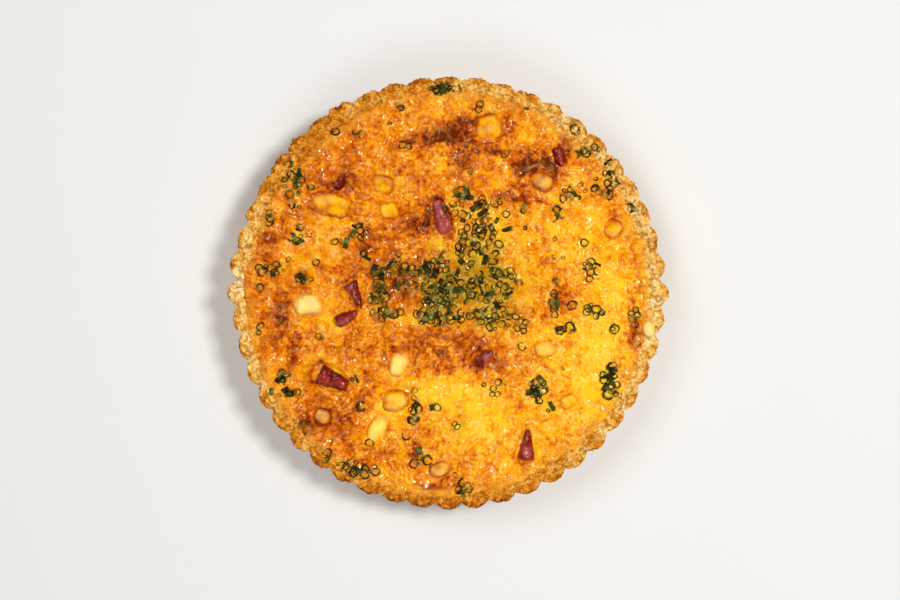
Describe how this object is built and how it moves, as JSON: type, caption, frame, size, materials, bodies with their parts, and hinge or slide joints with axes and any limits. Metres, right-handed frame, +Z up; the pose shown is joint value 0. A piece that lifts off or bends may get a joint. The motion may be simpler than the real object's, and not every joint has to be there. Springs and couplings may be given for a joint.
{
  "type": "ham and cheese quiche",
  "caption": "Whole round quiche in a fluted shortcrust case, its baked egg filling browned on top and set with diced ham, melting cheese lumps and cut chive rings.",
  "frame": {"origin": "centre of the underside, on the surface that the quiche stands on", "axes": "+Z up; +Y towards the far side of the quiche as pictured from above, +X to its right"},
  "size_m": [0.2262, 0.221, 0.0348],
  "materials": {
    "pastry": "baked shortcrust, matte and crumbly",
    "baked_egg": "browned egg and melted cheese with a soft oily gloss",
    "ham": "moist cured meat",
    "cheese": "melted cheese, soft gloss",
    "chives": "dried green herb"
  },
  "bodies": {
    "root": {"crust": "pastry", "filling": "baked_egg", "ham_1": "ham", "ham_2": "ham", "ham_3": "ham", "ham_4": "ham", "ham_5": "ham", "ham_6": "ham", "ham_7": "ham", "ham_8": "ham", "cheese_1": "cheese", "cheese_2": "cheese", "cheese_3": "cheese", "cheese_4": "cheese", "cheese_5": "cheese", "cheese_6": "cheese", "cheese_7": "cheese", "cheese_8": "cheese", "cheese_9": "cheese", "cheese_10": "cheese", "cheese_11": "cheese", "cheese_12": "cheese", "cheese_13": "cheese", "cheese_14": "cheese"}
  },
  "joints": []
}
